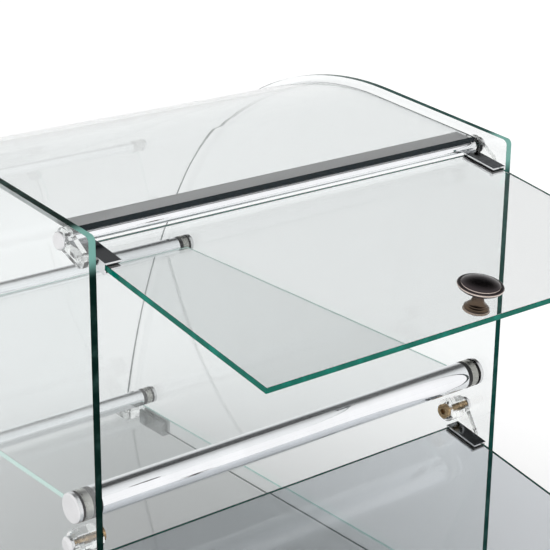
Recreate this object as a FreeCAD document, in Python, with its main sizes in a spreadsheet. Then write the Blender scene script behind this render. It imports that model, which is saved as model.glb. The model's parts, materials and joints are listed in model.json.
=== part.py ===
import FreeCAD, Part
import math
import os
import Sketcher

# Countertop display showcase: two glass side panels, one bent glass for the top and
# the curved front, a middle shelf and a base glass on chromed cross tubes, and two
# glass doors hinged at their tops on the operator's side.
#
# Frame: +X across the width, +Z up, the curved customer front towards -Y and the doors
# towards +Y. Sections are drawn from the rear top corner of the side glass, with y
# negative towards the front and z negative downwards.

DIMENSIONS = {
    # overall
    "rear_edge_y": 166.631,
    "corner_height": 399.0,
    "inner_width": 350.0,
    "side_glass": 5.0,
    "sheet_glass": 4.0,
    "base_glass": 5.0,
    # fits between neighbours
    "free_fit": 0.1,
    "close_fit": 0.05,
    "press_fit": 0.02,
    "hole_clearance": 0.3,
    "cut_past": 0.5,
    # panels
    "side_bottom": 395.0,
    "corner_radius": 4.0,
    # side profile
    "top_slope": 5.0,
    "top_level": 0.8,
    "shoulder_start": 132.3,
    "shoulder_radius": 278.0,
    "shoulder_end": 60.0,
    "front_radius": 832.0,
    # bent glass
    "bent_inset": 4.5,
    "bent_rear": 27.3,
    "bent_bottom": 391.0,
    "bent_width": 340.0,
    # cross tubes
    "rear_tube_y": 24.7,
    "rear_tube_radius": 10.5,
    "front_tube_radius": 8.0,
    "tube_wall": 1.3,
    "tube_span": 330.0,
    "middle_tube_z": 188.0,
    "middle_front_y": 393.4,
    "lower_tube_z": 362.5,
    "lower_front_y": 454.9,
    "seal_width": 4.0,
    "collar_width": 6.0,
    "spigot_length": 12.0,
    "cap_width": 3.5,
    "cap_rounding": 1.2,
    "bolt_radius": 2.5,
    # shelves
    "shelf_top": 188.0,
    "shelf_gap": 2.5,
    "slot_grip_rear": 9.25,
    "slot_grip_front": 6.75,
    "base_top": 373.5,
    "base_front": 480.0,
    "base_rear": 18.0,
    # top rod and bonding strip
    "rod_y": 30.9,
    "rod_z": 9.4,
    "rod_radius": 3.7,
    "rod_span": 345.8,
    "rod_hole_depth": 6.0,
    "rod_thread_radius": 2.0,
    "rod_thread_gap": 1.0,
    "rod_screw_head": 3.2,
    "strip_setback": 1.5,
    "strip_width": 15.2,
    "strip_thick": 0.6,
    "strip_span": 336.0,
    # hinge blocks
    "lobe_radius": 8.0,
    "pivot_lobe_radius": 6.3,
    "plate_thick": 3.6,
    "boss_radius": 8.6,
    "boss_length": 12.4,
    "upper_pivot_y": 15.0,
    "upper_pivot_z": 17.2,
    "lower_lobe_y": 31.5,
    "lower_lobe_z": 217.5,
    "lower_pivot_y": 18.0,
    "lower_pivot_z": 235.5,
    "socket_head_radius": 5.6,
    "socket_head_width": 3.2,
    "socket_radius": 2.5,
    "socket_depth": 2.4,
    "bolt_past_glass": 2.5,
    "nut_radius": 6.0,
    "nut_width": 4.0,
    "nut_hole_depth": 2.7,
    "dome_rounding": 2.6,
    "pin_radius": 2.0,
    "pin_clearance": 0.06,
    "pin_length": 4.4,
    "pin_floor": 0.5,
    # doors
    "upper_droop": 9.5,
    "lower_droop": 11.0,
    "door_width": 339.0,
    "door_front": 12.4,
    "upper_reach": 173.3,
    "lower_reach": 148.0,
    "knob_margin": 11.0,
    "knob_hole_radius": 2.6,
    # door clamps
    "clamp_outer": 171.0,
    "clamp_width": 12.0,
    "clamp_front": 12.8,
    "clamp_length": 31.0,
    "clamp_half_height": 4.0,
    "flange_thick": 1.25,
    "liner_inset": 0.6,
    "liner_setback": 0.4,
    "set_screw_radius": 1.5,
    "set_screw_inset": 3.2,
    "set_screw_setback": 3.4,
    "set_screw_reach": 2.2,
    # rests and feet
    "rest_width": 15.0,
    "front_rest_front": 492.4,
    "front_rest_back": 470.0,
    "rear_rest_front": 44.0,
    "rear_rest_back": 22.0,
    "foot_length": 40.0,
    "foot_width": 12.0,
    "foot_height": 15.0,
    "foot_pad": 4.0,
    "front_foot_y": 466.0,
    "rear_foot_y": 88.0,
}

doc = FreeCAD.newDocument("showcase")
sheet = doc.addObject("Spreadsheet::Sheet", "Dims")
for row, (alias, number) in enumerate(DIMENSIONS.items(), start=1):
    sheet.set(f"A{row}", alias)
    sheet.set(f"B{row}", str(number))
    sheet.setAlias(f"B{row}", alias)
doc.recompute()


class Size:
    """A driven number together with the spreadsheet expression that gives it."""

    def __init__(self, value, text):
        self.value = value
        self.text = text

    def __add__(self, other):
        other = as_size(other)
        return Size(self.value + other.value, f"({self.text} + {other.text})")

    def __sub__(self, other):
        other = as_size(other)
        return Size(self.value - other.value, f"({self.text} - {other.text})")

    def __mul__(self, other):
        other = as_size(other)
        return Size(self.value * other.value, f"({self.text} * {other.text})")

    def __neg__(self):
        return Size(-self.value, f"(0 - {self.text})")


def as_size(number):
    return number if isinstance(number, Size) else Size(float(number), f"{float(number):.6f}")


def dim(alias):
    return Size(DIMENSIONS[alias], f"Dims.{alias}")


def sine(angle):
    return Size(math.sin(math.radians(angle.value)), f"sin({angle.text} * 1 deg)")


def cosine(angle):
    return Size(math.cos(math.radians(angle.value)), f"cos({angle.text} * 1 deg)")


HALF = dim("inner_width") * 0.5
REAR_Y = dim("rear_edge_y")
TOP_Z = dim("corner_height")
GLASS = dim("sheet_glass")
FREE_FIT = dim("free_fit")
CLOSE_FIT = dim("close_fit")
CUT_PAST = dim("cut_past")
NEAR = 0.01
XY, YZ, XZ = "XY_Plane", "YZ_Plane", "XZ_Plane"
nodes = {}


def bind(thing, path, size):
    thing.setExpression(path, as_size(size).text)


def place(thing, x=0.0, y=0.0, z=0.0, droop=None):
    """Put a piece at a point measured from the rear top corner."""
    turn = FreeCAD.Rotation(FreeCAD.Vector(1, 0, 0), -droop.value if droop else 0.0)
    thing.Placement = FreeCAD.Placement(FreeCAD.Vector(0, 0, 0), turn)
    bind(thing, "Placement.Base.x", as_size(x))
    bind(thing, "Placement.Base.y", REAR_Y + y)
    bind(thing, "Placement.Base.z", TOP_Z + z)
    if droop:
        bind(thing, "Placement.Rotation.Angle", droop)
        thing.Placement.Rotation.Axis = FreeCAD.Vector(-1, 0, 0)


def new_body(label):
    body = doc.addObject("PartDesign::Body", label)
    body.Label = label
    return body


def new_sketch(body, role=YZ):
    sketch = body.newObject("Sketcher::SketchObject", f"{body.Name}_outline")
    plane = [item for item in body.Origin.OriginFeatures if item.Role == role][0]
    sketch.AttachmentSupport = [(plane, "")]
    sketch.MapMode = "FlatFace"
    return sketch


def fix(sketch, kind, size, *where):
    """Add a driven constraint; where holds geometry and point indices."""
    size = as_size(size)
    index = sketch.addConstraint(Sketcher.Constraint(kind, *where, size.value))
    bind(sketch, f"Constraints[{index}]", size)


def fix_point(sketch, geometry, end, across, up):
    fix(sketch, "DistanceX", across, -1, 1, geometry, end)
    fix(sketch, "DistanceY", up, -1, 1, geometry, end)


def join(sketch, first, first_end, second, second_end):
    sketch.addConstraint(Sketcher.Constraint("Coincident", first, first_end, second, second_end))


def add_line(sketch, start, end):
    return sketch.addGeometry(Part.LineSegment(FreeCAD.Vector(*start, 0), FreeCAD.Vector(*end, 0)))


def add_polygon(sketch, corners):
    """Closed outline whose corners are pairs of driven sizes."""
    corners = [(as_size(across), as_size(up)) for across, up in corners]
    flat = [(across.value, up.value) for across, up in corners]
    lines = []
    for index, start in enumerate(flat):
        lines.append(add_line(sketch, start, flat[(index + 1) % len(flat)]))
    for index, line in enumerate(lines):
        join(sketch, line, 2, lines[(index + 1) % len(lines)], 1)
        fix_point(sketch, line, 1, *corners[index])
    return lines


def add_box_outline(sketch, low_across, high_across, low_up, high_up):
    return add_polygon(sketch, [(low_across, low_up), (high_across, low_up),
                                (high_across, high_up), (low_across, high_up)])


def add_circle(sketch, across, up, radius):
    across, up, radius = as_size(across), as_size(up), as_size(radius)
    centre = FreeCAD.Vector(across.value, up.value, 0)
    circle = sketch.addGeometry(Part.Circle(centre, FreeCAD.Vector(0, 0, 1), radius.value))
    fix(sketch, "Radius", radius, circle)
    fix_point(sketch, circle, 3, across, up)
    return circle


def extrude(body, sketch, length, symmetric=False, backwards=False, cut=False):
    kind = "PartDesign::Pocket" if cut else "PartDesign::Pad"
    feature = body.newObject(kind, f"{body.Name}_cut" if cut else f"{body.Name}_pad")
    feature.Profile = sketch
    bind(feature, "Length", length)
    if symmetric:
        feature.SideType = "Symmetric"
    feature.Reversed = backwards
    sketch.Visibility = False
    return feature


def outward(angle):
    """Unit vector from a profile arc's centre to the point where it heads at this angle."""
    return math.sin(math.radians(angle)), math.cos(math.radians(angle))


def add_profile(sketch, inset, start_y, bottom_z):
    """Sloping top line, shoulder arc and front arc, set in from the side glass outline."""
    slope, turn = dim("top_slope"), dim("shoulder_end")
    knee_y = -dim("shoulder_start") - inset * sine(slope)
    rise = Size(math.tan(math.radians(slope.value)), f"tan({slope.text} * 1 deg)")
    knee_z = dim("top_level") + dim("shoulder_start") * rise - inset * cosine(slope)
    shoulder = dim("shoulder_radius") - inset
    front = dim("front_radius") - inset
    joint_y = knee_y - shoulder * (sine(slope) + sine(turn))
    start_z = knee_z.value + (knee_y.value - start_y.value) * rise.value
    centre1 = (knee_y.value - shoulder.value * outward(slope.value)[0],
               knee_z.value - shoulder.value * outward(slope.value)[1])
    joint = tuple(centre1[i] + shoulder.value * outward(-turn.value)[i] for i in range(2))
    centre2 = tuple(joint[i] - front.value * outward(-turn.value)[i] for i in range(2))
    last = -math.degrees(math.acos((bottom_z.value - centre2[1]) / front.value))
    up = FreeCAD.Vector(0, 0, 1)

    def arc(centre, radius, first_angle, last_angle):
        circle = Part.Circle(FreeCAD.Vector(*centre, 0), up, radius)
        angles = [math.radians(90 - angle) for angle in (first_angle, last_angle)]
        return sketch.addGeometry(Part.ArcOfCircle(circle, *angles))

    line = add_line(sketch, (start_y.value, start_z), (knee_y.value, knee_z.value))
    first = arc(centre1, shoulder.value, slope.value, -turn.value)
    second = arc(centre2, front.value, -turn.value, last)
    sketch.addConstraint(Sketcher.Constraint("Tangent", line, 2, first, 1))
    sketch.addConstraint(Sketcher.Constraint("Tangent", first, 2, second, 1))
    fix(sketch, "Radius", shoulder, first)
    fix(sketch, "Radius", front, second)
    fix_point(sketch, line, 2, knee_y, knee_z)
    fix(sketch, "DistanceX", joint_y, -1, 1, first, 2)
    fix(sketch, "DistanceX", start_y, -1, 1, line, 1)
    fix(sketch, "DistanceY", bottom_z, -1, 1, second, 2)
    return line, first, second


def top_line_z(depth, inset):
    """Height of the sloping top line at a depth in front of the rear edge."""
    slope = dim("top_slope")
    rise = Size(math.tan(math.radians(slope.value)), f"tan({slope.text} * 1 deg)")
    lean = Size(1 / math.cos(math.radians(slope.value)), f"(1 / cos({slope.text} * 1 deg))")
    return dim("top_level") + depth * rise - inset * lean


def tube_axes():
    rear_y, middle, lower = -dim("rear_tube_y"), -dim("middle_tube_z"), -dim("lower_tube_z")
    return {
        "middle_rear": (rear_y, middle, dim("rear_tube_radius")),
        "middle_front": (-dim("middle_front_y"), middle, dim("front_tube_radius")),
        "lower_rear": (rear_y, lower, dim("rear_tube_radius")),
        "lower_front": (-dim("lower_front_y"), lower, dim("front_tube_radius")),
    }


def hinge_screws():
    return [(-dim("rod_y"), -dim("rod_z")), (-dim("lower_lobe_y"), -dim("lower_lobe_z"))]


def side_x(side, size):
    return size if side > 0 else -size


def soften(body, feature, size, pick):
    """Round the edges that pick accepts."""
    names = [f"Edge{i}" for i, edge in enumerate(feature.Shape.Edges, start=1) if pick(edge)]
    fillet = body.newObject("PartDesign::Fillet", f"{body.Name}_fillet")
    fillet.Base = (feature, names)
    fillet.Radius = size
    doc.recompute()
    return fillet


# ---- side glasses -------------------------------------------------------------------
def build_side_glass(label, side):
    body = new_body(label)
    sketch = new_sketch(body)
    line, _, second = add_profile(sketch, as_size(0.0), as_size(0.0), -dim("side_bottom"))
    top = sketch.Geometry[line].StartPoint
    arc = sketch.Geometry[second]
    foot = min((arc.StartPoint, arc.EndPoint), key=lambda point: point.y)
    bottom = add_line(sketch, (foot.x, foot.y), (0.0, foot.y))
    rear = add_line(sketch, (0.0, foot.y), (0.0, top.y))
    join(sketch, second, 2, bottom, 1)
    join(sketch, bottom, 2, rear, 1)
    join(sketch, rear, 2, line, 1)
    sketch.addConstraint(Sketcher.Constraint("Horizontal", bottom))
    panel = extrude(body, sketch, dim("side_glass"), backwards=side < 0)
    doc.recompute()

    def top_corner(edge):
        middle = edge.CenterOfMass
        return abs(middle.y) < NEAR and abs(middle.z - top.y) < NEAR

    soften(body, panel, DIMENSIONS["corner_radius"], top_corner)
    holes = new_sketch(body)
    for across, up in hinge_screws() + [axis[:2] for axis in tube_axes().values()]:
        add_circle(holes, across, up, dim("bolt_radius") + dim("hole_clearance"))
    extrude(body, holes, dim("side_glass") * 4.0, symmetric=True, cut=True)
    place(body, side_x(side, HALF))
    nodes[label] = body


build_side_glass("side_glass_right", 1)
build_side_glass("side_glass_left", -1)


# ---- bent glass ---------------------------------------------------------------------
def add_band(sketch, outer_inset, inner_inset, bottom):
    """Closed section of the bent sheet between two insets from the side glass outline."""
    start_y = -dim("bent_rear")
    outer = add_profile(sketch, outer_inset, start_y, bottom)
    inner = add_profile(sketch, inner_inset, start_y, bottom)
    for outer_piece, inner_piece, end in ((outer[0], inner[0], 1), (outer[2], inner[2], 2)):
        points = []
        for piece in (outer_piece, inner_piece):
            item = sketch.Geometry[piece]
            low = min((item.StartPoint, item.EndPoint), key=lambda point: point.y)
            points.append(item.StartPoint if end == 1 else low)
        edge = add_line(sketch, (points[0].x, points[0].y), (points[1].x, points[1].y))
        join(sketch, outer_piece, end, edge, 1)
        join(sketch, inner_piece, end, edge, 2)


def build_curved_glass():
    body = new_body("curved_glass")
    sketch = new_sketch(body)
    add_band(sketch, dim("bent_inset"), dim("bent_inset") + GLASS, -dim("bent_bottom"))
    extrude(body, sketch, dim("bent_width"), symmetric=True)
    place(body)
    nodes["curved_glass"] = body


build_curved_glass()


# ---- shelves ------------------------------------------------------------------------
def build_plate(label, outline, span):
    """Flat or prismatic piece across the width, centred on X = 0."""
    body = new_body(label)
    sketch = new_sketch(body)
    add_polygon(sketch, outline)
    extrude(body, sketch, span, symmetric=True)
    place(body)
    nodes[label] = body


shelf_span = dim("inner_width") - dim("shelf_gap") * 2.0
shelf_back = -dim("rear_tube_y") - dim("slot_grip_rear")
shelf_front = -dim("middle_front_y") + dim("slot_grip_front")
shelf_top = -dim("shelf_top")
shelf_bottom = shelf_top - GLASS
notch_back = -dim("rear_tube_y") - dim("rear_tube_radius") - dim("hole_clearance")
notch_front = -dim("middle_front_y") + dim("front_tube_radius") + dim("hole_clearance")


def build_middle_shelf():
    """Full-width sheet whose corners are notched round the tube ends."""
    body = new_body("middle_shelf_glass")
    for back, front, span in ((notch_back, notch_front, shelf_span),
                              (shelf_back, shelf_front, dim("tube_span") - FREE_FIT * 4.0)):
        sketch = new_sketch(body)
        add_box_outline(sketch, front, back, shelf_bottom, shelf_top)
        extrude(body, sketch, span, symmetric=True)
        doc.recompute()
    place(body)
    nodes["middle_shelf_glass"] = body


build_middle_shelf()

base_top = -dim("base_top")
base_bottom = base_top - dim("base_glass")
base_back, base_front = -dim("base_rear"), -dim("base_front")
build_plate("base_glass",
            [(base_front, base_bottom), (base_back, base_bottom),
             (base_back, base_top), (base_front, base_top)], shelf_span)

strip_inset = dim("bent_inset") + GLASS
strip_rear = dim("bent_rear") + dim("strip_setback")
strip_end = strip_rear + dim("strip_width")
build_plate("top_bonding_strip",
            [(-strip_end, top_line_z(strip_end, strip_inset + dim("strip_thick"))),
             (-strip_rear, top_line_z(strip_rear, strip_inset + dim("strip_thick"))),
             (-strip_rear, top_line_z(strip_rear, strip_inset)),
             (-strip_end, top_line_z(strip_end, strip_inset))], dim("strip_span"))


# ---- cross tubes --------------------------------------------------------------------
def build_tube(label, axis, slot_side):
    across, up, radius = axis
    body = new_body(label)
    sketch = new_sketch(body)
    add_circle(sketch, across, up, radius)
    add_circle(sketch, across, up, radius - dim("tube_wall"))
    extrude(body, sketch, dim("tube_span"), symmetric=True)
    if slot_side:
        doc.recompute()
        slot = new_sketch(body)
        grip = dim("slot_grip_rear") if slot_side < 0 else dim("slot_grip_front")
        near = across + side_x(slot_side, grip - FREE_FIT)
        far = across + side_x(slot_side, radius + CUT_PAST)
        low, high = (far, near) if slot_side < 0 else (near, far)
        add_box_outline(slot, low, high, shelf_bottom - FREE_FIT, shelf_top + FREE_FIT)
        extrude(body, slot, dim("tube_span") * 1.1, symmetric=True, cut=True)
    place(body)
    nodes[label] = body


slots = {"middle_rear": -1, "middle_front": 1, "lower_rear": 0, "lower_front": 0}
for name, axis in tube_axes().items():
    build_tube(f"{name}_tube", axis, slots[name])


def add_round(body, across, up, radius, start, length, side, bore=None):
    """Round length along X starting at a distance from the middle; bore makes it a ring."""
    sketch = new_sketch(body)
    bind(sketch, "AttachmentOffset.Base.z", side_x(side, as_size(start)))
    add_circle(sketch, across, up, radius)
    if bore:
        add_circle(sketch, across, up, bore)
    feature = extrude(body, sketch, length, backwards=side < 0)
    doc.recompute()
    return feature


def cut_round(body, across, up, radius, start, length, side):
    sketch = new_sketch(body)
    bind(sketch, "AttachmentOffset.Base.z", side_x(side, as_size(start)))
    add_circle(sketch, across, up, radius)
    feature = extrude(body, sketch, length, backwards=side > 0, cut=True)
    doc.recompute()
    return feature


def outer_rim(distance, radius):
    """Pick the circular edge of this radius at this distance from the middle plane."""
    def pick(edge):
        round_edge = hasattr(edge.Curve, "Radius")
        if not round_edge or abs(edge.Curve.Radius - radius) > NEAR:
            return False
        return abs(abs(edge.CenterOfMass.x) - distance) < NEAR
    return pick


def pair(label, maker):
    """One node holding a right-hand and a left-hand solid."""
    halves = []
    for side, word in ((1, "right"), (-1, "left")):
        body = new_body(f"{label}_{word}_half")
        maker(body, side)
        halves.append(body)
    doc.recompute()
    group = doc.addObject("Part::Compound", label)
    group.Label = label
    group.Links = halves
    nodes[label] = group


SEAL_START = dim("tube_span") * 0.5
COLLAR_START = SEAL_START + dim("seal_width")
OUTSIDE = HALF + dim("side_glass")


def build_tube_ends(name, axis):
    across, up, radius = axis
    spigot = radius - dim("tube_wall") - FREE_FIT
    bolt = dim("bolt_radius")

    def seal(body, side):
        add_round(body, across, up, radius, SEAL_START, dim("seal_width"), side,
                  bore=spigot + CLOSE_FIT)
        place(body)

    def collar(body, side):
        add_round(body, across, up, radius, COLLAR_START, dim("collar_width"), side)
        reach = dim("spigot_length") + dim("seal_width")
        add_round(body, across, up, spigot, COLLAR_START - reach, reach, side)
        cut_round(body, across, up, bolt + CLOSE_FIT, COLLAR_START - reach,
                  reach + dim("collar_width"), side)
        place(body)

    def cap(body, side):
        shank = dim("side_glass") + dim("collar_width") + dim("spigot_length") * 0.5
        head = add_round(body, across, up, radius, OUTSIDE, dim("cap_width"), side)
        rim = outer_rim((OUTSIDE + dim("cap_width")).value, radius.value)
        soften(body, head, DIMENSIONS["cap_rounding"], rim)
        add_round(body, across, up, bolt, OUTSIDE - shank, shank, side)
        place(body)

    pair(f"{name}_tube_seals", seal)
    pair(f"{name}_tube_collars", collar)
    pair(f"{name}_outer_caps", cap)


for name, axis in tube_axes().items():
    build_tube_ends(name, axis)


# ---- top rod and its outer screws ---------------------------------------------------
ROD = (-dim("rod_y"), -dim("rod_z"))
ROD_END = dim("rod_span") * 0.5
ROD_HOLE = dim("rod_hole_depth")
ROD_THREAD = dim("rod_thread_radius")


def build_rod():
    body = new_body("top_rear_rod")
    sketch = new_sketch(body)
    add_circle(sketch, *ROD, dim("rod_radius"))
    extrude(body, sketch, dim("rod_span"), symmetric=True)
    doc.recompute()
    for side in (1, -1):
        cut_round(body, *ROD, ROD_THREAD + CLOSE_FIT, ROD_END - ROD_HOLE, ROD_HOLE, side)
    place(body)
    nodes["top_rear_rod"] = body


build_rod()


def domed_head(body, across, up, side, width):
    """Round head with a domed rim, standing on the outer face of the side glass."""
    radius = dim("nut_radius")
    head = add_round(body, across, up, radius, OUTSIDE, width, side)
    rim = outer_rim((OUTSIDE + width).value, radius.value)
    soften(body, head, DIMENSIONS["dome_rounding"], rim)


def top_screw(body, side):
    domed_head(body, *ROD, side, dim("rod_screw_head"))
    shank = OUTSIDE - ROD_END + ROD_HOLE - dim("rod_thread_gap")
    add_round(body, *ROD, ROD_THREAD, OUTSIDE - shank, shank, side)
    place(body)


pair("top_outer_screws", top_screw)


# ---- hinge blocks -------------------------------------------------------------------
def add_lobes(sketch, big, small, big_radius, small_radius):
    """Two-lobed plate outline: two circles joined by their outer tangents."""
    gap_y = small[0].value - big[0].value
    gap_z = small[1].value - big[1].value
    spread = math.hypot(gap_y, gap_z)
    heading = math.atan2(gap_z, gap_y)
    lean = math.acos((big_radius.value - small_radius.value) / spread)
    up = FreeCAD.Vector(0, 0, 1)
    arcs = []
    for centre, radius, first, last in (
            (big, big_radius, heading + lean, heading - lean + 2 * math.pi),
            (small, small_radius, heading - lean, heading + lean)):
        middle = FreeCAD.Vector(centre[0].value, centre[1].value, 0)
        circle = Part.Circle(middle, up, radius.value)
        arcs.append(sketch.addGeometry(Part.ArcOfCircle(circle, first, last)))
        fix(sketch, "Radius", radius, arcs[-1])
        fix_point(sketch, arcs[-1], 3, *centre)
    ends = {}
    for index, arc in enumerate(arcs):
        shape = sketch.Geometry[arc]
        ends[index] = (shape.StartPoint, shape.EndPoint)
    first = add_line(sketch, tuple(ends[0][1])[:2], tuple(ends[1][0])[:2])
    second = add_line(sketch, tuple(ends[1][1])[:2], tuple(ends[0][0])[:2])
    sketch.addConstraint(Sketcher.Constraint("Tangent", arcs[0], 2, first, 1))
    sketch.addConstraint(Sketcher.Constraint("Tangent", first, 2, arcs[1], 1))
    sketch.addConstraint(Sketcher.Constraint("Tangent", arcs[1], 2, second, 1))
    sketch.addConstraint(Sketcher.Constraint("Tangent", second, 2, arcs[0], 1))


PLATE_START = HALF - dim("plate_thick")
PIN_BORE = dim("pin_radius") + dim("pin_clearance")


def build_hinge_block(label, side, big, small, bores, boss_length=None):
    """Clear plate against the side glass; bores are (radius, start, length) on its big lobe."""
    body = new_body(label)
    sketch = new_sketch(body)
    bind(sketch, "AttachmentOffset.Base.z", side_x(side, PLATE_START))
    add_lobes(sketch, big, small, dim("lobe_radius"), dim("pivot_lobe_radius"))
    extrude(body, sketch, dim("plate_thick"), backwards=side < 0)
    doc.recompute()
    if boss_length:
        boss_start = PLATE_START - boss_length
        add_round(body, *big, dim("boss_radius"), boss_start, boss_length, side)
    for radius, start, length in bores:
        cut_round(body, *big, radius, start, length, side)
    cut_round(body, *small, PIN_BORE, PLATE_START, dim("plate_thick") - dim("pin_floor"), side)
    place(body)
    nodes[label] = body


UPPER_PIVOT = (-dim("upper_pivot_y"), -dim("upper_pivot_z"))
LOWER_PIVOT = (-dim("lower_pivot_y"), -dim("lower_pivot_z"))
LOWER_LOBE = (-dim("lower_lobe_y"), -dim("lower_lobe_z"))
BOSS_START = PLATE_START - dim("boss_length")
rod_recess = (dim("rod_radius") + CLOSE_FIT, PLATE_START, ROD_END - PLATE_START + FREE_FIT)
screw_hole = (ROD_THREAD + FREE_FIT, PLATE_START, dim("plate_thick"))
bolt_hole = (dim("bolt_radius") + CLOSE_FIT, BOSS_START, HALF - BOSS_START)
for word, side in (("right", 1), ("left", -1)):
    build_hinge_block(f"upper_hinge_block_{word}", side, ROD, UPPER_PIVOT,
                      [rod_recess, screw_hole])
    build_hinge_block(f"lower_hinge_block_{word}", side, LOWER_LOBE, LOWER_PIVOT,
                      [bolt_hole], boss_length=dim("boss_length"))


def socket_screw(body, side):
    """Bolt whose round head, with a hexagonal socket, lies against the boss."""
    head_width = dim("socket_head_width")
    head_start = BOSS_START - head_width
    add_round(body, *LOWER_LOBE, dim("socket_head_radius"), head_start, head_width, side)
    length = OUTSIDE + dim("bolt_past_glass") - BOSS_START
    add_round(body, *LOWER_LOBE, dim("bolt_radius"), BOSS_START, length, side)
    hexagon = new_sketch(body)
    bind(hexagon, "AttachmentOffset.Base.z", side_x(side, head_start))
    corners = []
    for step in range(6):
        angle = math.radians(60 * step)
        corners.append((LOWER_LOBE[0] + dim("socket_radius") * math.cos(angle),
                        LOWER_LOBE[1] + dim("socket_radius") * math.sin(angle)))
    add_polygon(hexagon, corners)
    extrude(body, hexagon, dim("socket_depth"), backwards=side > 0, cut=True)
    place(body)


def outer_nut(body, side):
    domed_head(body, *LOWER_LOBE, side, dim("nut_width"))
    bore = dim("bolt_radius") + CLOSE_FIT
    cut_round(body, *LOWER_LOBE, bore, OUTSIDE, dim("nut_hole_depth"), side)
    place(body)


pair("lower_hinge_socket_screws", socket_screw)
pair("lower_hinge_outer_nuts", outer_nut)


# ---- doors: drawn flat about their pivot, y along the door, z off its outer face ------
HALF_GLASS = GLASS * 0.5
CUT_THROUGH = dim("flange_thick") + CUT_PAST * 2.0
SET_SCREW_Y = dim("clamp_length") - dim("clamp_front") - dim("set_screw_setback")
DOORS = {
    "upper": (UPPER_PIVOT, dim("upper_droop"), dim("upper_reach")),
    "lower": (LOWER_PIVOT, dim("lower_droop"), dim("lower_reach")),
}


def build_door_glass(name, pivot, droop, reach):
    body = new_body(f"{name}_door_glass")
    sketch = new_sketch(body)
    add_box_outline(sketch, -dim("door_front"), reach, -HALF_GLASS, HALF_GLASS)
    extrude(body, sketch, dim("door_width"), symmetric=True)
    doc.recompute()
    hole = new_sketch(body, XY)
    add_circle(hole, 0.0, reach - dim("knob_margin"), dim("knob_hole_radius"))
    extrude(body, hole, GLASS * 5.0, symmetric=True, cut=True)
    place(body, 0.0, *pivot, droop=droop)
    nodes[f"{name}_door_glass"] = body


def build_clamp(name, word, side, pivot, droop):
    label = f"{name}_door_clamp_{word}"
    body = new_body(label)
    outer = side_x(side, dim("clamp_outer"))
    inner = side_x(side, dim("clamp_outer") - dim("clamp_width"))
    web = side_x(side, dim("clamp_outer") - dim("flange_thick"))
    tall = dim("clamp_half_height")
    throat = tall - dim("flange_thick")
    sketch = new_sketch(body, XZ)
    bind(sketch, "AttachmentOffset.Base.z", dim("clamp_front"))
    add_polygon(sketch, [(outer, -tall), (inner, -tall), (inner, -throat), (web, -throat),
                         (web, throat), (inner, throat), (inner, tall), (outer, tall)])
    extrude(body, sketch, dim("clamp_length"), backwards=True)
    doc.recompute()
    cut_round(body, 0.0, 0.0, dim("pin_radius") + dim("press_fit"),
              dim("clamp_outer") - dim("flange_thick") - CUT_PAST, CUT_THROUGH, side)
    screw = new_sketch(body, XY)
    bind(screw, "AttachmentOffset.Base.z", -tall - CUT_PAST)
    centre = inner + side_x(side, dim("set_screw_inset"))
    add_circle(screw, centre, SET_SCREW_Y, dim("set_screw_radius") + CLOSE_FIT)
    extrude(body, screw, CUT_THROUGH, backwards=True, cut=True)
    place(body, 0.0, *pivot, droop=droop)
    nodes[label] = body


def build_door_small_parts(name, pivot, droop):
    tall = dim("clamp_half_height")
    throat = tall - dim("flange_thick")
    inner_x = dim("clamp_outer") - dim("clamp_width")
    web_x = dim("clamp_outer") - dim("flange_thick")

    def liner(body, side):
        edge = side_x(side, dim("door_width") * 0.5 + CLOSE_FIT)
        inner, web = side_x(side, inner_x + dim("liner_inset")), side_x(side, web_x)
        sketch = new_sketch(body, XZ)
        bind(sketch, "AttachmentOffset.Base.z", dim("clamp_front") - dim("liner_setback"))
        add_polygon(sketch, [(web, -throat), (inner, -throat), (inner, -HALF_GLASS),
                             (edge, -HALF_GLASS), (edge, HALF_GLASS), (inner, HALF_GLASS),
                             (inner, throat), (web, throat)])
        extrude(body, sketch, dim("clamp_length") - dim("liner_setback") * 2.0, backwards=True)
        place(body, 0.0, *pivot, droop=droop)

    def pin(body, side):
        length = dim("pin_length") - FREE_FIT * 2.0
        add_round(body, 0.0, 0.0, dim("pin_radius"), web_x + CLOSE_FIT, length, side)
        place(body, 0.0, *pivot, droop=droop)

    def set_screw(body, side):
        sketch = new_sketch(body, XY)
        bind(sketch, "AttachmentOffset.Base.z", -throat)
        centre = side_x(side, inner_x + dim("set_screw_inset"))
        add_circle(sketch, centre, SET_SCREW_Y, dim("set_screw_radius"))
        extrude(body, sketch, dim("flange_thick") + dim("set_screw_reach"), backwards=True)
        place(body, 0.0, *pivot, droop=droop)

    pair(f"{name}_door_clamp_liners", liner)
    pair(f"{name}_door_pivot_pins", pin)
    pair(f"{name}_door_set_screws", set_screw)


def build_turned(label, profile, pivot, droop, reach, bore=None):
    """Turned piece on the door's knob axis, from (radius, height) corners."""
    body = new_body(label)
    sketch = new_sketch(body)
    offset = reach - dim("knob_margin")
    corners = [(offset + radius, as_size(height)) for radius, height in profile]
    lines = add_polygon(sketch, corners)
    feature = body.newObject("PartDesign::Revolution", f"{body.Name}_turn")
    feature.Profile = sketch
    feature.ReferenceAxis = (sketch, [f"Edge{lines[-1] + 1}"])
    feature.Angle = 360.0
    sketch.Visibility = False
    doc.recompute()
    if bore:
        radius, low, high = bore
        hole = new_sketch(body, XY)
        bind(hole, "AttachmentOffset.Base.z", low)
        add_circle(hole, 0.0, offset, as_size(radius))
        extrude(body, hole, as_size(high - low), backwards=True, cut=True)
        doc.recompute()
    place(body, 0.0, *pivot, droop=droop)
    nodes[label] = body


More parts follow.
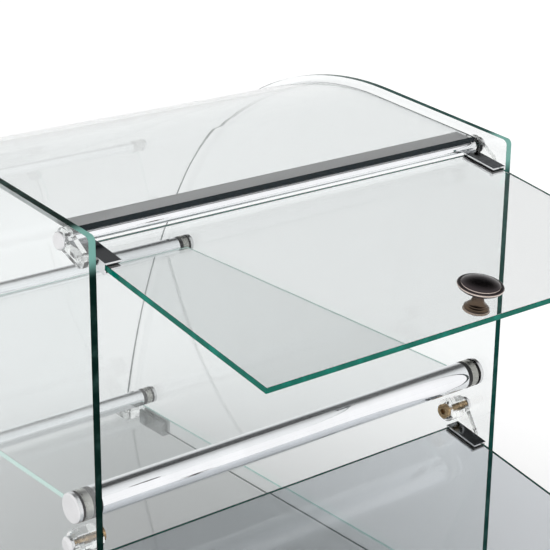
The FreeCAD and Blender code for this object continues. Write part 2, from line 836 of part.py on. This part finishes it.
# Turned outlines are (radius, height) corners; bores are (radius, from, to).
KNOB = [(0.0, 4.0), (7.4, 4.0), (7.4, 4.8), (6.2, 5.8), (4.8, 7.0), (3.9, 8.6), (3.4, 10.8),
        (3.5, 13.0), (4.6, 14.5), (7.5, 15.3), (11.6, 16.0), (13.4, 16.9), (14.3, 18.1),
        (14.5, 18.8), (14.2, 19.4), (13.3, 19.7), (12.6, 19.5), (12.0, 20.0), (10.2, 21.1),
        (7.2, 22.0), (3.6, 22.6), (0.0, 22.8)]
ROSETTE = [(0.0, 2.0), (7.9, 2.0), (8.1, 2.7), (7.9, 3.3), (7.2, 3.6), (6.8, 4.0), (0.0, 4.0)]
KNOB_SCREW = [(0.0, -3.4), (3.2, -3.4), (4.0, -2.8), (4.0, -2.0), (2.0, -2.0), (2.0, 11.0),
              (0.0, 11.0)]
KNOB_BORE = (2.05, 4.0, 11.5)
ROSETTE_BORE = (2.1, 2.0, 4.0)

for name, (pivot, droop, reach) in DOORS.items():
    build_door_glass(name, pivot, droop, reach)
    for word, side in (("right", 1), ("left", -1)):
        build_clamp(name, word, side, pivot, droop)
    build_door_small_parts(name, pivot, droop)
    build_turned(f"{name}_door_knob", KNOB, pivot, droop, reach, bore=KNOB_BORE)
    build_turned(f"{name}_door_rosette", ROSETTE, pivot, droop, reach, bore=ROSETTE_BORE)
    build_turned(f"{name}_door_knob_screw", KNOB_SCREW, pivot, droop, reach)


# ---- rests for the base glass and feet ----------------------------------------------
def build_rest(label, side, y_low, y_high, notch):
    body = new_body(label)
    sketch = new_sketch(body)
    bind(sketch, "AttachmentOffset.Base.z", side_x(side, HALF - dim("rest_width")))
    bottom = -dim("side_bottom")
    add_box_outline(sketch, y_low, y_high, bottom, base_bottom)
    extrude(body, sketch, dim("rest_width"), backwards=side < 0)
    doc.recompute()
    if notch:
        groove = new_sketch(body)
        inset = dim("bent_inset")
        add_band(groove, inset - FREE_FIT, inset + GLASS + FREE_FIT,
                 -dim("bent_bottom") - FREE_FIT)
        extrude(body, groove, dim("bent_width") + FREE_FIT * 4.0, symmetric=True, cut=True)
        doc.recompute()
    place(body)
    nodes[label] = body


for word, side in (("right", 1), ("left", -1)):
    build_rest(f"front_glass_rest_{word}", side, -dim("front_rest_front"),
               -dim("front_rest_back"), True)
    build_rest(f"rear_glass_rest_{word}", side, -dim("rear_rest_front"),
               -dim("rear_rest_back"), False)


def build_foot(label, side, front_y):
    body = new_body(label)
    sketch = new_sketch(body, XZ)
    centre = side_x(side, HALF + dim("side_glass") * 0.5)
    wide = dim("foot_width") * 0.5
    slot = dim("side_glass") * 0.5 + CLOSE_FIT
    top = dim("foot_height") - dim("foot_pad")
    corners = [(centre - wide, -dim("foot_pad")), (centre + wide, -dim("foot_pad")),
               (centre + wide, top), (centre + slot, top), (centre + slot, as_size(0.0)),
               (centre - slot, as_size(0.0)), (centre - slot, top), (centre - wide, top)]
    add_polygon(sketch, corners)
    extrude(body, sketch, dim("foot_length"), backwards=True)
    place(body, 0.0, -front_y, -dim("side_bottom"))
    nodes[label] = body


for word, side in (("right", 1), ("left", -1)):
    build_foot(f"front_foot_{word}", side, dim("front_foot_y"))
    build_foot(f"rear_foot_{word}", side, dim("rear_foot_y"))

# ---- check and write ----------------------------------------------------------------
doc.recompute()
for item in doc.Objects:
    if "Invalid" in item.State or "Error" in item.State:
        raise RuntimeError(f"{item.Label}: {item.State}")
os.makedirs("parts", exist_ok=True)
for label, item in nodes.items():
    if item.Shape.isNull() or not item.Shape.isValid():
        raise RuntimeError(f"{label}: bad shape")
    item.Label = label
    item.Shape.exportStep(f"parts/{label}.step")
print(len(nodes), "nodes written")
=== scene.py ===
"""Looks of a countertop glass display showcase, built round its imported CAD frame.

The case is lit by a pale table and a soft sky with one dark patch high on the customer's
side, which the chromed tubes and the sheets of glass reflect.
All lengths are in metres, in the CAD frame.
"""

import json
import math

import bmesh
import bpy
from mathutils import Matrix, Vector

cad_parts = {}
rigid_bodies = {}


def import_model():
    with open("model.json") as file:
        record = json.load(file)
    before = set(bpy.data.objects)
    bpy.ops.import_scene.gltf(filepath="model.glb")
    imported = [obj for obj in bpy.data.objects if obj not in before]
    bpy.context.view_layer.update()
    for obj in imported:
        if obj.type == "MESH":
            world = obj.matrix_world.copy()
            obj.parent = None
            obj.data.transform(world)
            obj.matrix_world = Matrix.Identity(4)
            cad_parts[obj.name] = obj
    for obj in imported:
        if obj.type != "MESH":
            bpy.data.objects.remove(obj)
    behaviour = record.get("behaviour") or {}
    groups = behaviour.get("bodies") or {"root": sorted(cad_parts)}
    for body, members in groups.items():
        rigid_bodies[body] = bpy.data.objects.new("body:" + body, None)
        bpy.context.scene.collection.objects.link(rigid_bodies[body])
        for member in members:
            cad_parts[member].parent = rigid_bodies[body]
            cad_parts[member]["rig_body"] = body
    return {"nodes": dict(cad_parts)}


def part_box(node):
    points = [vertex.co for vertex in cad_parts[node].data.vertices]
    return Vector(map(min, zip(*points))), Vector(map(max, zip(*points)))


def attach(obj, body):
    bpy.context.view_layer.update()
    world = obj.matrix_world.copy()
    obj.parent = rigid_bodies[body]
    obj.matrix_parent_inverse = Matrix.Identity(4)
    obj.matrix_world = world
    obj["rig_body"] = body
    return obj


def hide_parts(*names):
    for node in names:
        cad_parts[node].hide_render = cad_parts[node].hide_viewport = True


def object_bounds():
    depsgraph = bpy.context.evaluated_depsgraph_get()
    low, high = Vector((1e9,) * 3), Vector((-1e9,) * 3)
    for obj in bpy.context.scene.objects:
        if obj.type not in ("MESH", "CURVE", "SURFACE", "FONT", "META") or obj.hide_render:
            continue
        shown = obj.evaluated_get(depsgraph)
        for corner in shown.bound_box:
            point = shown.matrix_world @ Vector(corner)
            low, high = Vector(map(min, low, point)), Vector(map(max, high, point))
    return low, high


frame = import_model()
cad_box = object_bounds()

MM = 0.001
X_AXIS = Vector((1, 0, 0))


# ---- shader helpers ------------------------------------------------------------------
class Shader:
    """A new material with one Principled shader and short ways to drive it by patterns."""

    def __init__(self, name, **settings):
        self.material = bpy.data.materials.new(name)
        self.material.use_nodes = True
        self.tree = self.material.node_tree
        self.surface = self.tree.nodes["Principled BSDF"]
        for socket, value in settings.items():
            self.surface.inputs[socket.replace("_", " ")].default_value = value

    def link(self, source, target):
        self.tree.links.new(source, target)

    def node(self, kind, **settings):
        node = self.tree.nodes.new(kind)
        for name, value in settings.items():
            setattr(node, name, value)
        return node

    def place(self, stretch=(1, 1, 1)):
        """The piece's own coordinates in metres; stretch squeezes a pattern along an axis."""
        mapping = self.node("ShaderNodeMapping")
        mapping.inputs["Scale"].default_value = stretch
        self.link(self.node("ShaderNodeTexCoord").outputs["Object"], mapping.inputs["Vector"])
        return mapping.outputs["Vector"]

    def noise(self, size, detail=3.0, rough=0.5, stretch=(1, 1, 1)):
        """Soft pattern whose patches are about this size."""
        noise = self.node("ShaderNodeTexNoise")
        noise.inputs["Scale"].default_value = 1 / size
        noise.inputs["Detail"].default_value = detail
        noise.inputs["Roughness"].default_value = rough
        self.link(self.place(stretch), noise.inputs["Vector"])
        return noise.outputs["Fac"]

    def range(self, source, low, high, start=0.3, end=0.7):
        """Spread a pattern's middle values from low to high."""
        spread = self.node("ShaderNodeMapRange", interpolation_type="SMOOTHSTEP")
        for socket, value in (("From Min", start), ("From Max", end),
                              ("To Min", low), ("To Max", high)):
            spread.inputs[socket].default_value = value
        self.link(source, spread.inputs["Value"])
        return spread.outputs["Result"]

    def blend(self, factor, first, second):
        """Colour that goes from first to second."""
        mix = self.node("ShaderNodeMix", data_type="RGBA")
        colours = [socket for socket in mix.inputs if socket.type == "RGBA"]
        for socket, colour in zip(colours, (first, second)):
            socket.default_value = (*colour, 1)
        self.link(factor, mix.inputs["Factor"])
        return [socket for socket in mix.outputs if socket.type == "RGBA"][0]

    def drive(self, socket, source):
        self.link(source, self.surface.inputs[socket])

    def bump(self, source, depth):
        """Raise the surface by a pattern of this depth."""
        bump = self.node("ShaderNodeBump")
        bump.inputs["Distance"].default_value = depth
        bump.inputs["Strength"].default_value = 1
        self.link(source, bump.inputs["Height"])
        self.link(bump.outputs["Normal"], self.surface.inputs["Normal"])


# ---- materials -----------------------------------------------------------------------
LENGTHWISE = (0.015, 1, 1)
STREAKED = (0.02, 1, 1)
DULLED = 0.94
# How far from a corner its painted light or shade fills an edge fully, and where it has faded
# out.
CORNER_PAINTED_LIGHT_FULL = 10 * MM
CORNER_PAINTED_LIGHT_FADED = 24 * MM
PALER, LIFT = 1.3, 0.01
# Bronze tones by how rubbed a point is: blackened, bronze, and a bright pinkish tone that is
# rubbed metal and a painted highlight in one.
BRONZE_TONES = ((0.15, (0.05, 0.042, 0.045)), (0.65, (0.12, 0.085, 0.055)),
                (1.1, (0.75, 0.65, 0.6)))
SPECKLE_SHARE = 0.3
WEAR_AND_HIGHLIGHT_TOP = 1 + SPECKLE_SHARE


def clear_glass(name, depth_colour, density):
    """Float glass: faintly tinted in depth and faintly wavy, with a few wiped smears."""
    shader = Shader(name, Base_Color=(1, 1, 1, 1), IOR=1.5, Transmission_Weight=1)
    smears = shader.noise(60 * MM, detail=5, rough=0.6, stretch=(1, 0.35, 1))
    shader.drive("Roughness", shader.range(smears, 0.0, 0.02, start=0.52, end=0.8))
    shader.bump(shader.noise(45 * MM, detail=1), 0.02 * MM)
    depth = shader.node("ShaderNodeVolumeAbsorption")
    depth.inputs["Color"].default_value = (*depth_colour, 1)
    depth.inputs["Density"].default_value = density
    output = shader.tree.nodes["Material Output"]
    shader.link(depth.outputs["Volume"], output.inputs["Volume"])
    return shader.material


def glass_edge(name, colour, second, corner=None, streaky=0.4, gloss=0.1, glow=0):
    """Polished edge of a sheet, streaked with a second colour; near a corner that colour
    fills the edge as painted light, or as painted shade when the colour is dark.

    A glow is painted light: the edge gives out the second colour as emission, standing for
    the daylight that the sheet pipes out at its edge.
    """
    shader = Shader(name, IOR=1.5, Specular_IOR_Level=gloss,
                    Emission_Color=(*second, 1), Emission_Strength=glow)
    streaks = shader.noise(14 * MM, detail=4, rough=0.65)
    tone = shader.range(streaks, 0, streaky, start=0.45, end=0.8)
    # Painted light or shade: the second colour fills the edge near the corner and fades out
    # further away.
    if corner:
        reach = shader.node("ShaderNodeVectorMath", operation="DISTANCE")
        shader.link(shader.place(stretch=(0, 1, 1)), reach.inputs[0])
        reach.inputs[1].default_value = (0, *corner)
        near = shader.range(reach.outputs["Value"], 1, 0,
                            start=CORNER_PAINTED_LIGHT_FULL, end=CORNER_PAINTED_LIGHT_FADED)
        streak_and_painted_light = shader.node("ShaderNodeMath", operation="MAXIMUM")
        shader.link(near, streak_and_painted_light.inputs[0])
        shader.link(tone, streak_and_painted_light.inputs[1])
        tone = streak_and_painted_light.outputs["Value"]
    shader.drive("Base Color", shader.blend(tone, colour, second))
    shader.drive("Roughness", shader.range(streaks, 0.08, 0.2))
    shader.bump(shader.noise(0.5 * MM, detail=2), 0.01 * MM)
    return shader.material


def clear_plastic():
    """Moulded polycarbonate with soft flow marks."""
    shader = Shader("clear_plastic", Base_Color=(0.97, 0.97, 0.96, 1), IOR=1.2,
                    Transmission_Weight=1)
    shader.drive("Roughness", shader.range(shader.noise(4 * MM), 0.02, 0.12))
    shader.bump(shader.noise(3 * MM, detail=2), 0.03 * MM)
    return shader.material


def metal(name, colour, low_rough, high_rough, grain, worn=None, cloud=12 * MM):
    """Metal with cloudy gloss; grain is its stretch and depth."""
    shader = Shader(name, Metallic=1)
    clouds = shader.noise(cloud, detail=4, rough=0.6)
    worn = worn or [tone * DULLED for tone in colour]
    shader.drive("Base Color", shader.blend(shader.range(clouds, 0, 1), colour, worn))
    shader.drive("Roughness", shader.range(clouds, low_rough, high_rough))
    stretch, depth = grain
    shader.bump(shader.noise(0.4 * MM, detail=2, stretch=stretch), depth)
    return shader.material


def rubber(name, colour):
    """Matt rubber with a fine pebbled skin and paler rubbed patches."""
    shader = Shader(name)
    patches = shader.noise(5 * MM, detail=4)
    rubbed = [tone * PALER + LIFT for tone in colour]
    shader.drive("Base Color", shader.blend(shader.range(patches, 0, 1), colour, rubbed))
    shader.drive("Roughness", shader.range(patches, 0.45, 0.7))
    shader.bump(shader.noise(0.5 * MM, detail=2), 0.03 * MM)
    return shader.material


def bonding_strip():
    """Satin metal tape under the top glass, with lengthwise streaks."""
    shader = Shader("brushed_strip", Metallic=0.9)
    streaks = shader.noise(1.5 * MM, detail=3, stretch=STREAKED)
    shader.drive("Base Color", shader.blend(streaks, (0.6, 0.6, 0.61), (0.72, 0.72, 0.73)))
    shader.drive("Roughness", shader.range(streaks, 0.35, 0.55))
    return shader.material


def turned_bronze():
    """Dark bronze: brown where the vertices are half rubbed, bright where wholly so, that
    bright being rubbed metal and a painted highlight in one.
    """
    shader = Shader("dark_bronze", Metallic=1)
    rubbed = shader.node("ShaderNodeAttribute", attribute_name="rubbed").outputs["Fac"]
    speckle = shader.noise(1.2 * MM, detail=5, rough=0.7)
    broken = shader.node("ShaderNodeMath", operation="MULTIPLY_ADD")
    broken.inputs[1].default_value = SPECKLE_SHARE
    shader.link(speckle, broken.inputs[0])
    shader.link(rubbed, broken.inputs[2])
    ramp = shader.node("ShaderNodeValToRGB")
    stops = ramp.color_ramp.elements
    stops.new(0.5)
    for stop, (wear_and_highlight, colour) in zip(stops, BRONZE_TONES):
        stop.position = wear_and_highlight / WEAR_AND_HIGHLIGHT_TOP
        stop.color = (*colour, 1)
    scaled = shader.node("ShaderNodeMath", operation="DIVIDE")
    scaled.inputs[1].default_value = WEAR_AND_HIGHLIGHT_TOP
    shader.link(broken.outputs["Value"], scaled.inputs[0])
    shader.link(scaled.outputs["Value"], ramp.inputs["Fac"])
    shader.drive("Base Color", ramp.outputs["Color"])
    shader.drive("Roughness", shader.range(speckle, 0.12, 0.26))
    shader.bump(shader.noise(0.6 * MM, detail=3), 0.008 * MM)
    return shader.material


# The side panels' top rear corner, round which their edges are painted light, and the bent
# sheet's rear edge, along which its edge is painted shade, as (y, z).
SIDE_PAINTED_LIGHT_CORNER = (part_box("side_glass_right")[1].y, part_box("upper_hinge_block_right")[1].z)
BENT_REAR_PAINTED_SHADE = (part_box("curved_glass")[1].y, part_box("top_bonding_strip")[1].z)
MATERIALS = {
    "clear_glass": clear_glass("clear_glass", (0.1, 0.28, 0.28), 17),
    "clear_plastic": clear_plastic(),
    "chrome_tube": metal("chrome_tube", (0.88, 0.89, 0.91), 0.03, 0.05,
                         grain=(LENGTHWISE, 0.0006 * MM), cloud=40 * MM),
    "satin_steel": metal("satin_steel", (0.40, 0.40, 0.37), 0.2, 0.32,
                         grain=((8, 1, 1), 0.006 * MM)),
    "polished_steel": metal("polished_steel", (0.74, 0.74, 0.75), 0.08, 0.16,
                            grain=((4, 1, 1), 0.002 * MM)),
    "black_rubber": rubber("black_rubber", (0.012, 0.012, 0.012)),
    "grey_rubber": rubber("grey_rubber", (0.36, 0.37, 0.37)),
    "dark_chrome": metal("dark_chrome", (0.19, 0.20, 0.21), 0.1, 0.22,
                         grain=((1, 0.05, 1), 0.004 * MM)),
    "brass": metal("brass", (0.50, 0.36, 0.20), 0.2, 0.36, worn=(0.2, 0.14, 0.09),
                   grain=((1, 1, 1), 0.008 * MM), cloud=3 * MM),
    "dark_bronze": turned_bronze(),
    "brushed_strip": bonding_strip(),
}
# Sheets tinted denser and greyer than the rest, as painted shade.
PAINTED_SHADE_SHEETS = {
    "lower_door_glass": clear_glass("painted_shade_glass", (0.1, 0.2, 0.3), 75),
}
# Edge materials by node, or by the part of a node's name.
EDGES = {
    # The side panels' edges are near-black but painted pale round their top rear corner, as
    # painted light.
    "side_glass_right": glass_edge("near_edge", (0.0, 0.012, 0.009), (0.20, 0.42, 0.37),
                                   corner=SIDE_PAINTED_LIGHT_CORNER, streaky=0.1, gloss=0.03),
    # The far panel's edge is painted lighter and more streaked than the near panel's, as
    # painted light.
    "side_glass_left": glass_edge("far_edge", (0.0, 0.045, 0.036), (0.20, 0.42, 0.37),
                                  corner=SIDE_PAINTED_LIGHT_CORNER, streaky=0.2, gloss=0.03),
    "door_glass": glass_edge("door_glass_edge", (0.0, 0.12, 0.085), (0.0, 0.42, 0.31)),
    # The bent sheet's edge is painted dark along its rear edge, as painted shade.
    "curved_glass": glass_edge("curved_glass_edge", (0.5, 0.54, 0.54), (0.02, 0.028, 0.032),
                               corner=BENT_REAR_PAINTED_SHADE),
    # The shelf and base edges glow, as painted light.
    "shelf_glass": glass_edge("shelf_glass_edge", (0.42, 0.62, 0.57), (0.6, 0.75, 0.7),
                              glow=0.5),
    "base_glass": glass_edge("base_glass_edge", (0.35, 0.55, 0.5), (0.5, 0.7, 0.65),
                             glow=0.5),
    "door_clamp": MATERIALS["polished_steel"],
}


# ---- pieces --------------------------------------------------------------------------
ALIGNED = 0.9
END_DEPTH = 1 * MM
WELD = 0.002 * MM
FLAT = math.radians(0.3)
SHARP = math.radians(40)
BEVEL_SEGMENTS = 2


def slot_of(node):
    """The record's material slot of a CAD node."""
    return frame["nodes"][node].data.materials[0].name.split(".")[0]


def show(piece, node):
    """Put a finished piece in a CAD node's place."""
    bpy.context.scene.collection.objects.link(piece)
    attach(piece, frame["nodes"][node]["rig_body"])
    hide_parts(node)


def is_sheet_edge(face, flat, low, high):
    """True for the narrow faces round a sheet of glass; a bent sheet has no flat normal."""
    if flat:
        return abs(face.normal.dot(flat)) < ALIGNED
    points = [corner.co for corner in face.verts]
    at_rear = all(point.y > high.y - END_DEPTH for point in points)
    at_foot = all(point.z < low.z + END_DEPTH for point in points)
    return abs(face.normal.x) > ALIGNED or at_rear or at_foot


def rounded(node, width, edge, shrink):
    """The CAD node's shape with its sharp edges eased, as a piece of its own.

    Flat faces are merged first, but not in clear plastic, whose faces have holes that a
    merged face would cover.
    """
    mesh = frame["nodes"][node].data.copy()
    mesh.name = f"{node}_eased"
    mesh.materials.clear()
    mesh.materials.append(PAINTED_SHADE_SHEETS.get(node, MATERIALS[slot_of(node)]))
    if edge:
        mesh.materials.append(edge)
    work = bmesh.new()
    work.from_mesh(mesh)
    bmesh.ops.remove_doubles(work, verts=work.verts, dist=WELD)
    if slot_of(node) != "clear_plastic":
        bmesh.ops.dissolve_limit(work, angle_limit=FLAT, verts=work.verts,
                                 edges=work.edges)
    work.normal_update()
    flat = None
    if edge and node != "curved_glass":
        flat = max(work.faces, key=lambda face: face.calc_area()).normal.copy()
    for face in work.faces:
        face.smooth = True
        if edge:
            face.material_index = int(is_sheet_edge(face, flat, *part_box(node)))
    if shrink:
        steps = [vert.normal * vert.calc_shell_factor() * shrink for vert in work.verts]
        for vert, step in zip(work.verts, steps):
            vert.co -= step
    work.to_mesh(mesh)
    work.free()
    if mesh.has_custom_normals:
        mesh.attributes.remove(mesh.attributes["custom_normal"])
    piece = bpy.data.objects.new(f"{node}_eased", mesh)
    bevel = piece.modifiers.new("ease", "BEVEL")
    bevel.width = width
    bevel.segments = BEVEL_SEGMENTS
    bevel.limit_method = "ANGLE"
    bevel.angle_limit = SHARP
    bevel.harden_normals = True
    show(piece, node)


def door_axes(door):
    """Middle of a door's free edge, the way along the door and the way off its face."""
    glass = frame["nodes"][f"{door}_door_glass"].data
    off = max(glass.polygons, key=lambda face: face.area).normal.copy()
    if off.z < 0:
        off.negate()
    along = off.cross(X_AXIS)
    points = [vert.co for vert in glass.vertices]
    reach = max(point.dot(along) for point in points)
    levels = [point.dot(off) for point in points]
    return along * reach + off * (max(levels) + min(levels)) / 2, along, off


CURVE_STEPS = 4
AROUND = 96
ON_AXIS = 0.01


def smooth_line(points):
    """Catmull-Rom curve through all of the points."""
    ends = [points[0]] + points + [points[-1]]
    line = []
    for before, start, end, after in zip(ends, ends[1:], ends[2:], ends[3:]):
        for step in range(CURVE_STEPS):
            along = step / CURVE_STEPS
            line.append(tuple(
                b + 0.5 * along * (c - a + along * (2 * a - 5 * b + 4 * c - d
                                                    + along * (3 * (b - c) + d - a)))
                for a, b, c, d in zip(before, start, end, after)))
    return line + [points[-1]]


def turned(node, profile, base, off, rubbed):
    """Lathe piece from (radius, height) points in millimetres; rubbed gives each point how
    rubbed it is, with its painted highlight.
    """
    side = off.cross(X_AXIS).normalized()
    mesh = bpy.data.meshes.new(f"{node}_turned")
    work = bmesh.new()
    wear_and_highlight = work.verts.layers.float.new("rubbed")
    rings = []
    for radius, height in smooth_line(profile):
        centre = base + off * height * MM
        ring = []
        for step in range(AROUND if radius > ON_AXIS else 1):
            angle = 2 * math.pi * step / AROUND
            arm = X_AXIS * math.cos(angle) + side * math.sin(angle)
            vert = work.verts.new(centre + arm * radius * MM)
            vert[wear_and_highlight] = rubbed(radius, height)
            ring.append(vert)
        rings.append(ring)
    for low, high in zip(rings, rings[1:]):
        for step in range(AROUND):
            after = (step + 1) % AROUND
            corners = [low[step % len(low)], low[after % len(low)],
                       high[after % len(high)], high[step % len(high)]]
            corners = list(dict.fromkeys(corners))
            if len(corners) > 2:
                work.faces.new(corners).smooth = True
    bmesh.ops.recalc_face_normals(work, faces=work.faces)
    work.to_mesh(mesh)
    work.free()
    mesh.materials.append(MATERIALS["dark_bronze"])
    show(bpy.data.objects.new(f"{node}_turned", mesh), node)


KNOB = [(0, 4.05), (7.3, 4.05), (7.4, 4.5), (6.9, 5.1), (6.2, 5.6), (6.1, 6.0), (5.3, 6.6),
        (4.3, 8.0), (3.6, 10.0), (3.4, 12.0), (3.8, 13.8), (5.4, 14.9), (8.5, 15.5),
        (11.6, 16.0), (13.4, 16.9), (14.3, 18.0), (14.45, 18.8), (13.9, 19.45), (13.1, 19.6),
        (12.75, 19.3), (12.4, 19.3), (12.2, 19.9), (11.7, 20.3), (10.2, 21.1), (7.2, 22.0),
        (3.6, 22.55), (0, 22.7)]
ROSETTE = [(0, 2.05), (7.8, 2.05), (8.05, 2.5), (7.9, 3.2), (7.4, 3.45), (7.3, 3.7),
           (7.0, 3.95), (0, 3.98)]
KNOB_MARGIN = 11 * MM
# Where the knob and rosette are rubbed and painted with a highlight, in the profiles'
# millimetres.
RIM_RADIUS, RIM_HEIGHT = 14.3, 18.2
BEAD_INNER, BEAD_OUTER, BEAD_HEIGHT = 12.15, 12.45, 19.5
STEM_TOP, STEM_FADE = 14, 5
FLANGE_HEIGHT = 4.6
ROSETTE_RIM = 7.7


def knob_wear_and_highlight(radius, height):
    """Hands rub the two rims bright, which is also a painted highlight, and the foot has lost
    its blacking.
    """
    on_rim = RIM_RADIUS < radius and RIM_HEIGHT < height
    on_bead = BEAD_INNER < radius < BEAD_OUTER and BEAD_HEIGHT < height
    # The rims: rubbed metal and a painted highlight.
    if on_rim or on_bead:
        return 0.85
    foot = max(0.0, min(1.0, (STEM_TOP - height) / STEM_FADE))
    return 0.34 * foot if height > FLANGE_HEIGHT else 0.45


def rosette_wear_and_highlight(radius, height):
    """Only the rim of the rosette is rubbed, and painted brighter as a highlight too,
    whatever the height.
    """
    return 0.6 if radius > ROSETTE_RIM else 0.1


def add_pull(door):
    """Knob and rosette on the door's centre line, near its free edge."""
    edge, along, off = door_axes(door)
    base = edge - along * KNOB_MARGIN
    turned(f"{door}_door_knob", KNOB, base, off, knob_wear_and_highlight)
    turned(f"{door}_door_rosette", ROSETTE, base, off, rosette_wear_and_highlight)


# ---- camera, table and sky -----------------------------------------------------------
VIEW_ANGLES = (140.795, 20.157, 0.7)
VIEW_PLACE = (0.695935, 0.974084, 0.727299)
LENS = 111.514
SENSOR = 36
CLIP_START = 0.05


def add_camera():
    """Long lens above the operator's left, looking down at the open doors."""
    azimuth, elevation, roll = (math.radians(angle) for angle in VIEW_ANGLES)
    back = Vector((math.sin(azimuth) * math.cos(elevation),
                   -math.cos(azimuth) * math.cos(elevation), math.sin(elevation)))
    right = Vector((0, 0, 1)).cross(back).normalized()
    turn = Matrix.Rotation(roll, 3, back)
    right = turn @ right
    up = back.cross(right)
    camera = bpy.data.objects.new("camera", bpy.data.cameras.new("camera"))
    camera.data.sensor_width = SENSOR
    camera.data.lens = LENS
    camera.data.clip_start = CLIP_START
    turned_to = Matrix((right, up, back)).transposed().to_4x4()
    camera.matrix_world = Matrix.Translation(VIEW_PLACE) @ turned_to
    bpy.context.scene.collection.objects.link(camera)
    bpy.context.scene.camera = camera


TABLE_SIZE = 40
TABLE_GAP = 0.2 * MM
TABLE_GLOW = (0.26, 0.5)
SHADE_START, SHADE_END = 0.05, 0.6


def add_table():
    """Pale table that glows like a lit studio surface, with the case's soft shade painted on
    it as a dimmer glow near the middle.
    """
    work = bmesh.new()
    bmesh.ops.create_grid(work, x_segments=2, y_segments=2, size=TABLE_SIZE)
    mesh = bpy.data.meshes.new("table")
    work.to_mesh(mesh)
    work.free()
    table = bpy.data.objects.new("table", mesh)
    table.location.z = cad_box[0].z - TABLE_GAP
    shader = Shader("table", Base_Color=(0.65, 0.65, 0.65, 1), Roughness=0.6,
                    Specular_IOR_Level=0, Emission_Color=(1, 1, 1, 1))
    reach = shader.node("ShaderNodeVectorMath", operation="LENGTH")
    shader.link(shader.place(), reach.inputs[0])
    # Painted shade: the glow is dimmest under the case and brightens outwards.
    glow = shader.range(reach.outputs["Value"], *TABLE_GLOW, start=SHADE_START, end=SHADE_END)
    shader.drive("Emission Strength", glow)
    mesh.materials.append(shader.material)
    bpy.context.scene.collection.objects.link(table)


# The sky's light by the cosine of the angle from the middle of its dark patch.
DARK_CENTRE = Vector((-0.593, -0.378, 0.711)).normalized()
SKY = [(-1.0, 1.12), (0.5, 1.08), (0.76, 0.94), (0.87, 0.74), (0.92, 0.5), (0.953, 0.25),
       (0.972, 0.1), (0.985, 0.04), (1.0, 0.04)]


def add_sky():
    """Bright all round but for one dark patch, by the cosine from the patch's centre."""
    world = bpy.data.worlds.new("sky")
    world.use_nodes = True
    tree = world.node_tree
    centre = tree.nodes.new("ShaderNodeVectorMath")
    centre.operation = "DOT_PRODUCT"
    centre.inputs[1].default_value = DARK_CENTRE
    direction = tree.nodes.new("ShaderNodeTexCoord").outputs["Generated"]
    tree.links.new(direction, centre.inputs[0])
    spread = tree.nodes.new("ShaderNodeMapRange")
    spread.inputs["From Min"].default_value = -1
    tree.links.new(centre.outputs["Value"], spread.inputs["Value"])
    ramp = tree.nodes.new("ShaderNodeValToRGB")
    stops = ramp.color_ramp.elements
    for cosine, _ in SKY[1:-1]:
        stops.new((cosine + 1) / 2)
    for stop, (cosine, level) in zip(stops, SKY):
        stop.position = (cosine + 1) / 2
        stop.color = (level, level, level, 1)
    tree.links.new(spread.outputs["Result"], ramp.inputs["Fac"])
    tree.links.new(ramp.outputs["Color"], tree.nodes["Background"].inputs["Color"])
    bpy.context.scene.world = world


add_camera()
add_table()
add_sky()

# ---- make ----------------------------------------------------------------------------
GLASS_ARRIS = 0.35 * MM
EASED = {
    "side_glass": GLASS_ARRIS,
    "door_glass": GLASS_ARRIS,
    "shelf_glass": GLASS_ARRIS,
    "base_glass": GLASS_ARRIS,
    "curved_glass": GLASS_ARRIS,
    "hinge_block": 0.6 * MM,
    "door_clamp": 0.3 * MM,
    "collars": 0.2 * MM,
    "seals": 0.3 * MM,
    "glass_rest": 1.0 * MM,
    "foot": 1.0 * MM,
}
CONTACT_GAP = 0.05 * MM
BOUNCES = 24

for name, item in frame["nodes"].items():
    part = next((part for part in EASED if part in name and "liners" not in name), None)
    if part:
        gap = CONTACT_GAP if slot_of(name) == "clear_plastic" else 0
        rounded(name, EASED[part], EDGES.get(name, EDGES.get(part)), gap)
    elif not name.endswith(("_knob", "_rosette")):
        item.data.materials[0] = MATERIALS[slot_of(name)]
for door in ("upper", "lower"):
    add_pull(door)

settings = bpy.context.scene.cycles
settings.max_bounces = BOUNCES
settings.transmission_bounces = BOUNCES
bpy.context.scene.view_settings.view_transform = "Standard"
